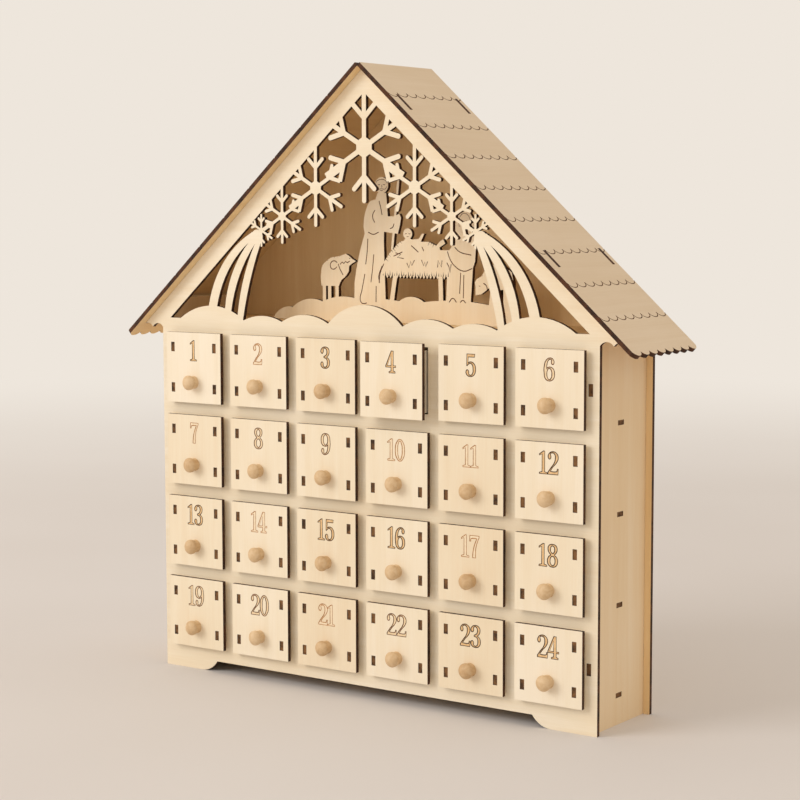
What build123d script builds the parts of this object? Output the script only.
from build123d import *
import math
import os

# Wooden advent calendar: a laser-cut plywood house with 24 small drawers.
# Millimetres. X runs along the front, Y from front to back, Z up from the table.

# Plywood sheet and its fits
ply = 2.0
fit_gap = 0.1
run_gap = 0.3
cut_over = 1.0

# Drawer grid
columns = 6
rows = 4
pitch = 40.0
grid_height = 8.8

# House body
wall_margin = 2.5
side_inset = 3.25
room_depth = 45.0
foot_height = 5.2
foot_flat = 23.0
foot_round = 9.5
side_tenon_height = 5.2
shelf_tenon_width = 5.0
divider_foot = 5.2

# Roof, and the eave tails of the gable ends under it
roof_pitch = 41.76
roof_front = 5.0
roof_back = 3.0
eave_wall = 11.87
eave_overhang = 4.6
eave_scallops = 8
eave_scallop_depth = 2.3
tail_drop = 1.1
tail_scallops = 2
tail_scallop_rise = 1.8
roof_slot_length = 10.6
roof_slot_shares = (0.117, 0.667)

# Gable window, its sill above the drawers, and the clouds along the sill
gable_band = 8.55
gable_sill = 3.7
cloud_rise = 9.2
# Each cloud: its far end along half the window, and its rise
cloud_shares = [(0.178, 1.00), (0.410, 0.40), (0.606, 0.27), (0.943, 0.70)]

# Snowflakes along the roof band, the largest in the middle
flake_arms = 6
flake_reach = 25.2
flake_arm_width = 2.3
flake_hub_share = 0.198
branch_root_share = 0.52
branch_tip_share = 0.775
branch_side_share = 0.255
# Each flake: reach, arm width, depth below the roof band, step from the flake before it, upper arm
flake_shares = [
    (1.000, 1.00, 0.728, 0.000, 1.00),
    (0.706, 0.76, 0.755, 0.762, 1.20),
    (0.508, 0.61, 0.773, 0.764, 1.25),
    (0.306, 0.46, 0.844, 0.670, 1.00),
]

# Comets: head beside the smallest flake, and three tails that stand on the clouds
comet_head = 3.4
comet_step = 4.0
comet_depth = 7.0
comet_reach = 30.4
comet_foot = 5.5
# Each tail, from the roof inwards: outer edge bend and foot, then inner edge foot and bend
tail_shares = [
    [(0.73, 0.42), (1.00, 1.00), (0.83, 1.00), (0.58, 0.46)],
    [(0.50, 0.50), (0.665, 1.06), (0.545, 1.09), (0.34, 0.50)],
    [(0.27, 0.56), (0.415, 1.17), (0.305, 1.19), (0.13, 0.56)],
]
# Where each tail's outer and inner edge start, across the head
tail_start_shares = [(0.70, 0.10), (0.30, -0.25), (-0.10, -0.70)]

# Nativity scene sheet, on the deck half way back
scene_width = 144.0
scene_tenon_width = 12.0
scene_tenon_pitch = 80.0
figure_lap = 1.9
hill_height = 12.3
# Each mound of the ground: where it starts, its height there, and its rise above a straight line
mound_shares = [
    (-0.500, 0.02, 0.18), (-0.417, 0.47, 0.20), (-0.292, 0.72, 0.11), (-0.162, 0.89, 0.04),
    (0.019, 0.82, 0.18), (0.115, 0.81, 0.10), (0.358, 0.78, 0.20), (0.500, 0.02, 0.00),
]

# Sheep that stands at the left: left end, foot above the sill, width and height
sheep_left = -43.1
sheep_foot = 8.8
sheep_width = 20.9
sheep_height = 22.8
sheep_leg_width = 1.9
sheep_leg_shares = [0.06, 0.21, 0.42]
sheep_belly_share = 0.34
sheep_shares = [
    (0.02, 0.33), (0.00, 0.52), (0.03, 0.71), (0.08, 0.79), (0.21, 0.87), (0.30, 0.92), (0.54, 0.95),
    (0.71, 1.00), (0.81, 0.96), (0.89, 0.90), (1.00, 0.85), (0.89, 0.80), (0.81, 0.75), (0.80, 0.64),
    (0.71, 0.53), (0.61, 0.47), (0.55, 0.40), (0.52, 0.33),
]

# Manger with straw and the swaddled infant
manger_left = -6.9
manger_foot = 9.8
manger_width = 37.5
manger_height = 33.9
manger_leg_width = 2.4
manger_leg_top_shares = (0.207, 0.867)
manger_leg_foot_shares = (0.131, 0.880)
straw_teeth = 20
straw_tooth_height = 1.8
straw_fringe_share = 0.37
# From the left end of the straw over the infant's blanket, arm and feet to its right end
straw_shares = [
    (0.00, 0.50), (0.06, 0.59), (0.115, 0.67), (0.16, 0.71), (0.22, 0.775), (0.275, 0.82),
    (0.325, 0.83), (0.38, 0.90), (0.44, 0.85), (0.545, 0.855), (0.60, 0.93), (0.63, 0.925),
    (0.58, 0.82), (0.695, 0.82), (0.765, 0.79), (0.81, 0.77), (0.865, 0.83), (0.91, 0.855),
    (0.94, 0.80), (0.855, 0.745), (0.865, 0.71), (1.00, 0.71),
]
infant_head_width = 5.0
infant_head_share = (0.384, 0.925)

# Shepherd with a staff, beside the manger
shepherd_foot = 8.0
shepherd_width = 18.2
shepherd_height = 59.7
shepherd_head_width = 7.6
shepherd_head_share = (0.875, 0.93)
shepherd_shares = [
    (0.00, 0.00), (0.01, 0.17), (0.07, 0.275), (0.14, 0.365), (0.21, 0.44), (0.30, 0.52), (0.34, 0.555),
    (0.30, 0.61), (0.32, 0.675), (0.37, 0.73), (0.45, 0.785), (0.53, 0.81), (0.69, 0.82), (0.75, 0.87),
    (1.02, 0.87), (1.07, 0.69), (1.26, 0.69), (1.43, 0.71), (1.48, 0.68), (1.45, 0.625), (1.38, 0.555),
    (0.95, 0.57), (0.945, 0.485), (0.955, 0.38), (1.00, 0.00),
]
staff_width = 1.2
staff_shares = [(1.19, 0.40), (1.40, 0.97)]

# Mother, veiled and kneeling at the other side of the manger
mother_foot = 8.0
mother_width = 16.3
mother_height = 45.3
# The hood from left to right over its crown, then the robe from there round to the left
hood_shares = [(0.28, 0.75), (0.40, 0.91), (0.63, 1.00), (0.865, 0.91), (0.99, 0.75)]
mother_robe_shares = [
    (1.00, 0.62), (0.97, 0.46), (0.90, 0.40), (0.82, 0.00), (0.00, 0.00), (0.07, 0.55), (0.26, 0.64),
]

# Ram at the right, with its head lowered
ram_left = 44.4
ram_foot = 5.0
ram_width = 20.6
ram_height = 22.6
ram_shares = [
    (0.02, 0.39), (0.02, 0.55), (0.00, 0.65), (0.06, 0.72), (0.17, 0.765), (0.23, 0.85), (0.32, 0.94),
    (0.47, 1.00), (0.76, 0.98), (0.95, 0.86), (1.00, 0.66), (0.97, 0.00), (0.74, 0.00), (0.74, 0.51),
    (0.675, 0.51), (0.675, 0.00), (0.345, 0.00), (0.40, 0.46), (0.365, 0.54), (0.30, 0.49), (0.17, 0.41),
]

# Drawers: face plate over the opening, and the box that runs on the shelf behind it
plate_spacing = 6.0
plate_lap = 2.0
plate_gap = 1.6
box_side_gap = 0.95
box_headroom = 1.4
drawer_tenon_height = 4.4
drawer_tenon_share = 0.704
ajar_number = 4
ajar = 4.0

# Turned knob
knob_drop = 7.0
knob_neck = 4.6
knob_head = 7.2
knob_tip = 4.6
knob_neck_depth = 1.3
knob_shoulder_depth = 4.0
knob_reach = 6.0
knob_flats = 10

# Places that follow from the sizes above
slope = math.radians(roof_pitch)
half_body = columns * pitch / 2 + wall_margin
side_outer = half_body - side_inset
side_inner = side_outer - ply
front_reach = ajar + plate_gap + ply + knob_reach
house_depth = room_depth + 2 * ply
front_y = (front_reach - house_depth - roof_back) / 2
room_front = front_y + ply
room_back = room_front + room_depth
room_middle = (room_front + room_back) / 2

grid_top = grid_height + rows * pitch
row_heights = [grid_top - pitch * (row + 1 / 2) for row in range(rows)]
column_places = [pitch * (column - (columns - 1) / 2) for column in range(columns)]
divider_places = [pitch * (column - columns / 2) for column in range(1, columns)]

plate_size = pitch - plate_spacing
opening = plate_size - 2 * plate_lap
plate_y = front_y - plate_gap - ply
box_width = opening - 2 * box_side_gap
shelf_drop = opening / 2 - run_gap
shelf_tops = [height - shelf_drop for height in row_heights]
slot_width = ply + 2 * fit_gap

tail_height = grid_top - tail_drop
tail_end = half_body + eave_wall / math.tan(slope)
ridge_inside = tail_height + tail_end * math.tan(slope)
slab_length = tail_end / math.cos(slope) + eave_overhang
side_height = ridge_inside - side_outer * math.tan(slope) - run_gap
sill_height = grid_top + gable_sill
deck_top = sill_height - fit_gap
window_top = ridge_inside - gable_band / math.cos(slope)
window_half = (window_top - sill_height) / math.tan(slope)
shepherd_left = manger_left + figure_lap - shepherd_width
mother_left = manger_left + manger_width - figure_lap


def across_sheet(outline, front_face):
    """Plywood sheet standing across the house, its front face at front_face."""
    plane = Plane((0, front_face + ply, 0), x_dir=(1, 0, 0), z_dir=(0, -1, 0))
    return extrude(plane * outline, ply)


def along_sheet(outline, left_face):
    """Plywood sheet standing from front to back, its left face at left_face."""
    plane = Plane((left_face, 0, 0), x_dir=(0, 1, 0), z_dir=(1, 0, 0))
    return extrude(plane * outline, ply)


def flat_sheet(outline, upper_face):
    """Plywood sheet lying flat, its upper face at upper_face."""
    return extrude(Plane((0, 0, upper_face - ply)) * outline, ply)


def group(sheets):
    """Separate sheets of one sub-part."""
    return Compound([sheet.solid() for sheet in sheets])


def block(left, right, low, high):
    """Rectangle from its edges."""
    return Pos((left + right) / 2, (low + high) / 2) * Rectangle(right - left, high - low)


def polygon(points):
    """Face with straight edges through the points."""
    return make_face(Polyline(*points, close=True))


def bulge(start, end, rise):
    """Arc from start to end whose middle is lifted by rise."""
    middle = ((start[0] + end[0]) / 2, (start[1] + end[1]) / 2 + rise)
    return ThreePointArc(start, middle, end)


def bar(start, end, width):
    """Straight bar of a given width between two points."""
    length = math.dist(start, end)
    turn = math.degrees(math.atan2(end[1] - start[1], end[0] - start[0]))
    middle = ((start[0] + end[0]) / 2, (start[1] + end[1]) / 2)
    return Pos(*middle) * Rot(0, 0, turn) * Rectangle(length, width)


def both_sides(face):
    """A face and its mirror image left of the middle."""
    return [face, mirror(face, Plane.YZ)]


def figure_points(shares, left, foot, width, height):
    """Points of a figure of the scene, from shares of its width and height."""
    return [(left + width * across, sill_height + foot + height * up) for across, up in shares]


def slope_point(along, above):
    """Point on the right roof slope, measured from the ridge down and off its lower face."""
    across = along * math.cos(slope) + above * math.sin(slope)
    height = ridge_inside - along * math.sin(slope) + above * math.cos(slope)
    return (across, height)


def slope_strip(start, end, low, high):
    """Rectangle along the right roof slope."""
    corners = [(start, low), (end, low), (end, high), (start, high)]
    return polygon([slope_point(along, above) for along, above in corners])


def house_outline(with_feet):
    """Gable end: body, eave tails with their scallops, and tenons for the roof."""
    step = (tail_end - half_body) / tail_scallops
    tail = [half_body + step * count for count in range(tail_scallops + 1)]
    edges = [Line((half_body, 0), (half_body, tail_height))]
    for start, end in zip(tail[:-1], tail[1:]):
        edges.append(bulge((start, tail_height), (end, tail_height), tail_scallop_rise))
    edges.append(Line((tail_end, tail_height), (0, ridge_inside)))
    base_height = foot_height if with_feet else 0
    edges.append(Line((0, ridge_inside), (0, base_height)))
    if with_feet:
        foot_start = half_body - foot_flat
        foot_inner = foot_start - foot_round
        edges.append(Line((0, base_height), (foot_inner, base_height)))
        edges.append(TangentArc((foot_start, 0), (foot_inner, base_height), tangent=(-1, 0)))
        edges.append(Line((foot_start, 0), (half_body, 0)))
    else:
        edges.append(Line((0, 0), (half_body, 0)))
    half = make_face(edges)
    half -= slope_strip(0, slab_length, -fit_gap, ply)
    for share in roof_slot_shares:
        first = slab_length * share + fit_gap
        last = slab_length * share + roof_slot_length - fit_gap
        half += slope_strip(first, last, -ply, ply)
    return half + mirror(half, Plane.YZ)


def side_mortises():
    """Slots in a gable end for the tenons of both side panels."""
    middle = (side_outer + side_inner) / 2
    slots = []
    for height in (row_heights[0], row_heights[-1]):
        slot = Pos(middle, height) * Rectangle(slot_width, side_tenon_height + 2 * fit_gap)
        slots += both_sides(slot)
    return slots


def clouds():
    """Lobes that stand on the window's sill, one in the middle and three to each side."""
    shapes = []
    start = 0
    for end_share, rise_share in cloud_shares:
        end = window_half * end_share
        left = start if shapes else -end
        edge = bulge((left, sill_height), (end, sill_height), cloud_rise * rise_share)
        lobe = make_face([edge, Line((end, sill_height), (left, sill_height))])
        shapes += both_sides(lobe) if shapes else [lobe]
        start = end
    return shapes


def snowflake(middle, reach, width, upper_reach):
    """Six-armed flake with a pair of branches on each arm and a hexagonal hub."""
    shapes = [RegularPolygon(reach * flake_hub_share, flake_arms, rotation=180 / flake_arms)]
    for arm in range(flake_arms):
        turn = Rot(0, 0, 360 / flake_arms * arm)
        shapes.append(turn * bar((0, 0), (0, reach if arm else upper_reach), width))
        for side in (-1, 1):
            root = (0, reach * branch_root_share)
            tip = (side * reach * branch_side_share, reach * branch_tip_share)
            shapes.append(turn * bar(root, tip, width))
    return [Pos(*middle) * shape for shape in shapes]


def comet(head):
    """Comet with a round head and three curved tails."""
    drop = head[1] - sill_height - comet_foot
    root = sill_height - cut_over
    shapes = [Pos(*head) * Circle(comet_head)]
    for shares, start_shares in zip(tail_shares, tail_start_shares):
        outer_start, inner_start = [
            (head[0] + comet_head * share, head[1] + comet_head * share) for share in start_shares]
        outer_bend, outer_foot, inner_foot, inner_bend = [
            (head[0] + comet_reach * across, head[1] - drop * down) for across, down in shares]
        edges = [
            ThreePointArc(outer_start, outer_bend, outer_foot),
            Polyline(outer_foot, (outer_foot[0], root), (inner_foot[0], root), inner_foot),
            ThreePointArc(inner_foot, inner_bend, inner_start),
            Line(inner_start, outer_start),
        ]
        shapes.append(make_face(edges))
    return shapes


def tracery():
    """Clouds, snowflakes and comets that are left standing in the gable window."""
    shapes = clouds()
    along = 0
    reach_before = 0
    for reach_share, width_share, depth_share, step_share, upper_share in flake_shares:
        reach = flake_reach * reach_share
        depth = gable_band + reach * depth_share
        along = along + (reach_before + reach) * step_share if along else depth * math.tan(slope)
        middle = slope_point(along, -depth)
        flake = snowflake(middle, reach, flake_arm_width * width_share, reach * upper_share)
        for shape in flake:
            shapes += both_sides(shape) if reach_before else [shape]
        reach_before = reach
    for shape in comet(slope_point(along + comet_step, -gable_band - comet_depth)):
        shapes += both_sides(shape)
    return shapes


def front_panel():
    """Front of the house: drawer openings below, pierced gable above."""
    window = polygon([(-window_half, sill_height), (window_half, sill_height), (0, window_top)])
    holes = [window] + side_mortises()
    for height in row_heights:
        for place in column_places:
            holes.append(Pos(place, height) * Rectangle(opening, opening))
    return across_sheet(house_outline(True) - holes + tracery(), front_y)


def back_panel():
    """Plain back of the house."""
    return across_sheet(house_outline(False) - side_mortises(), room_back)


def side_panel():
    """Right side of the house, with tenons front and back and slots for the shelves."""
    outline = block(room_front + fit_gap, room_back - fit_gap, 0, side_height)
    for height in (row_heights[0], row_heights[-1]):
        low = height - side_tenon_height / 2
        outline += block(room_front - ply, room_back + ply, low, low + side_tenon_height)
    slot = Rectangle(shelf_tenon_width + 2 * fit_gap, slot_width)
    outline -= [Pos(room_middle, top - ply / 2) * slot for top in shelf_tops + [deck_top]]
    return along_sheet(outline, side_inner)


def shelf_outline():
    """Shelf between the sides, with one tenon at each end."""
    reach = side_inner - fit_gap
    outline = block(-reach, reach, room_front + fit_gap, room_back - fit_gap)
    low = room_middle - shelf_tenon_width / 2
    return outline + block(-side_outer, side_outer, low, low + shelf_tenon_width)


def shelves():
    """One shelf under each row, slotted from the front to half depth for the dividers."""
    outline = shelf_outline()
    for place in divider_places:
        left = place - slot_width / 2
        outline -= block(left, left + slot_width, room_front - cut_over, room_middle + fit_gap)
    return group([flat_sheet(outline, top) for top in shelf_tops])


def dividers():
    """Uprights between the columns, slotted from the back to half depth for the shelves."""
    low = shelf_tops[-1] - ply - divider_foot
    outline = block(room_front + fit_gap, room_back - fit_gap, low, deck_top - ply - fit_gap)
    for top in shelf_tops:
        bottom = top - ply - fit_gap
        outline -= block(room_middle - fit_gap, room_back + cut_over, bottom, bottom + slot_width)
    return group([along_sheet(outline, place - ply / 2) for place in divider_places])


def top_deck():
    """Floor of the gable, slotted for the tenons of the nativity scene."""
    outline = shelf_outline()
    slot = Rectangle(scene_tenon_width + 2 * fit_gap, slot_width)
    for side in (-1, 1):
        outline -= Pos(side * scene_tenon_pitch / 2, room_middle) * slot
    return flat_sheet(outline, deck_top)


def hill():
    """Snowy ground of the scene, mound by mound, with its two tenons."""
    starts = [(scene_width * across, sill_height + hill_height * up) for across, up, rise in mound_shares]
    rises = [hill_height * rise for across, up, rise in mound_shares]
    edges = [bulge(*mound) for mound in zip(starts[:-1], starts[1:], rises)]
    left, right = starts[0], starts[-1]
    edges.append(Polyline(right, (right[0], sill_height), (left[0], sill_height), left))
    ground = make_face(edges)
    for side in (-1, 1):
        edge = side * scene_tenon_pitch / 2 - scene_tenon_width / 2
        ground += block(edge, edge + scene_tenon_width, sill_height - ply, sill_height + ply)
    return ground


def sheep():
    """Standing sheep, looking right."""
    frame = (sheep_left, sheep_foot, sheep_width, sheep_height)
    shapes = [polygon(figure_points(sheep_shares, *frame))]
    belly = sill_height + sheep_foot + sheep_height * sheep_belly_share
    for share in sheep_leg_shares:
        left = sheep_left + sheep_width * share
        shapes.append(block(left, left + sheep_leg_width, sill_height, belly))
    return shapes


def shepherd():
    """Standing robed figure with an arm held out to a staff."""
    frame = (shepherd_left, shepherd_foot, shepherd_width, shepherd_height)
    head = figure_points([shepherd_head_share], *frame)[0]
    staff = figure_points(staff_shares, *frame)
    return [
        polygon(figure_points(shepherd_shares, *frame)),
        Pos(*head) * Circle(shepherd_head_width / 2),
        bar(staff[0], staff[1], staff_width),
    ]


def manger():
    """Crib of straw on two splayed legs, with the swaddled infant on top."""
    frame = (manger_left, manger_foot, manger_width, manger_height)
    heap = figure_points(straw_shares, *frame)
    fringe = sill_height + manger_foot + manger_height * straw_fringe_share
    tooth = manger_width / straw_teeth
    for count in range(straw_teeth):
        start = manger_left + manger_width - tooth * count
        heap.append((start, fringe))
        heap.append((start - tooth / 2, fringe - straw_tooth_height))
    heap.append((manger_left, fringe))
    head = figure_points([infant_head_share], *frame)[0]
    shapes = [polygon(heap), Pos(*head) * Circle(infant_head_width / 2)]
    for top_share, foot_share in zip(manger_leg_top_shares, manger_leg_foot_shares):
        top = (manger_left + manger_width * top_share, fringe + manger_leg_width)
        foot = (manger_left + manger_width * foot_share, sill_height + manger_foot - manger_leg_width)
        shapes.append(bar(top, foot, manger_leg_width))
    return shapes


def mother():
    """Kneeling figure under a long veil."""
    frame = (mother_left, mother_foot, mother_width, mother_height)
    left, left_side, crown, right_side, right = figure_points(hood_shares, *frame)
    robe = figure_points(mother_robe_shares, *frame)
    return make_face([
        ThreePointArc(left, left_side, crown),
        ThreePointArc(crown, right_side, right),
        Polyline(right, *robe, left),
    ])


def ram():
    """Ram that grazes, facing left."""
    return polygon(figure_points(ram_shares, ram_left, ram_foot, ram_width, ram_height))


def nativity_scene():
    """Figures and ground cut from one sheet."""
    figures = sheep() + shepherd() + manger() + [mother(), ram()]
    return across_sheet(hill() + figures, room_middle - ply / 2)


def roof_slab():
    """Right roof slab with a scalloped eave and slots for the gable tenons."""
    depth = roof_front + house_depth + roof_back
    step = depth / eave_scallops
    edges = [Line((0, 0), (slab_length, 0))]
    for count in range(eave_scallops):
        start = (slab_length, step * count)
        end = (slab_length, step * (count + 1))
        middle = (slab_length + eave_scallop_depth, (start[1] + end[1]) / 2)
        edges.append(ThreePointArc(start, middle, end))
    edges.append(Polyline((slab_length, depth), (0, depth), (0, 0)))
    outline = make_face(edges)
    slot = Rectangle(roof_slot_length, slot_width)
    for share in roof_slot_shares:
        for sheet_front in (roof_front, roof_front + ply + room_depth):
            middle = (slab_length * share + roof_slot_length / 2, sheet_front + ply / 2)
            outline -= Pos(*middle) * slot
    plane = Plane(
        (0, front_y - roof_front, ridge_inside),
        x_dir=(math.cos(slope), 0, -math.sin(slope)),
        z_dir=(math.sin(slope), 0, math.cos(slope)),
    )
    return extrude(plane * outline, ply)


def drawer_tray():
    """Drawer about X = 0 and the row's middle: face plate, two walls, back and bottom."""
    low = run_gap - shelf_drop
    high = opening / 2 - box_headroom
    wall_middle = (box_width - ply) / 2
    box_back = room_back - run_gap
    tenon_level = (high - low) * drawer_tenon_share / 2
    plate = Rectangle(plate_size, plate_size)
    slot = Rectangle(slot_width, drawer_tenon_height + 2 * fit_gap)
    wall = block(plate_y + ply + fit_gap, box_back, low, high)
    for level in (-tenon_level, tenon_level):
        plate -= [Pos(side * wall_middle, level) * slot for side in (-1, 1)]
        tenon_low = level - drawer_tenon_height / 2
        wall += block(plate_y, plate_y + ply + cut_over, tenon_low, tenon_low + drawer_tenon_height)
    inside = box_width / 2 - ply - fit_gap
    back = block(-inside, inside, low + ply + fit_gap, high)
    bottom = block(-inside, inside, plate_y + ply + fit_gap, box_back)
    return group([
        across_sheet(plate, plate_y),
        along_sheet(wall, wall_middle - ply / 2),
        along_sheet(wall, -wall_middle - ply / 2),
        across_sheet(back, box_back - ply),
        flat_sheet(bottom, low + ply),
    ])


def drawer_knob():
    """Turned knob with a narrow neck and a domed head, its round drawn with flats all round."""
    edge = [
        (knob_neck / 2, 0),
        (knob_head / 2, -knob_neck_depth),
        (knob_head / 2, -knob_shoulder_depth),
        (knob_tip / 2, -knob_reach),
    ]
    profile = polygon(edge + [(-across, along) for across, along in reversed(edge)])
    pair_of_flats = extrude(profile, knob_head, both=True)
    turned = pair_of_flats
    for count in range(1, knob_flats // 2):
        turned = turned & (Rot(0, 360 / knob_flats * count, 0) * pair_of_flats)
    return Pos(0, plate_y, -knob_drop) * turned


nodes = {
    "front_panel": front_panel(),
    "back_panel": back_panel(),
    "side_panel_right": side_panel(),
    "shelves": shelves(),
    "dividers": dividers(),
    "top_deck": top_deck(),
    "nativity_scene": nativity_scene(),
    "roof_slab_right": roof_slab(),
}
for name in ("side_panel", "roof_slab"):
    nodes[name + "_left"] = mirror(nodes[name + "_right"], Plane.YZ)

tray = drawer_tray()
knob = drawer_knob()
for row, height in enumerate(row_heights):
    for column, place in enumerate(column_places):
        number = row * columns + column + 1
        pulled = ajar if number == ajar_number else 0
        spot = Location((place, -pulled, height))
        nodes[f"drawer_{number:02d}_tray"] = tray.moved(spot)
        nodes[f"drawer_{number:02d}_knob"] = knob.moved(spot)

os.makedirs("parts", exist_ok=True)
for name, shape in nodes.items():
    export_step(shape, f"parts/{name}.step")
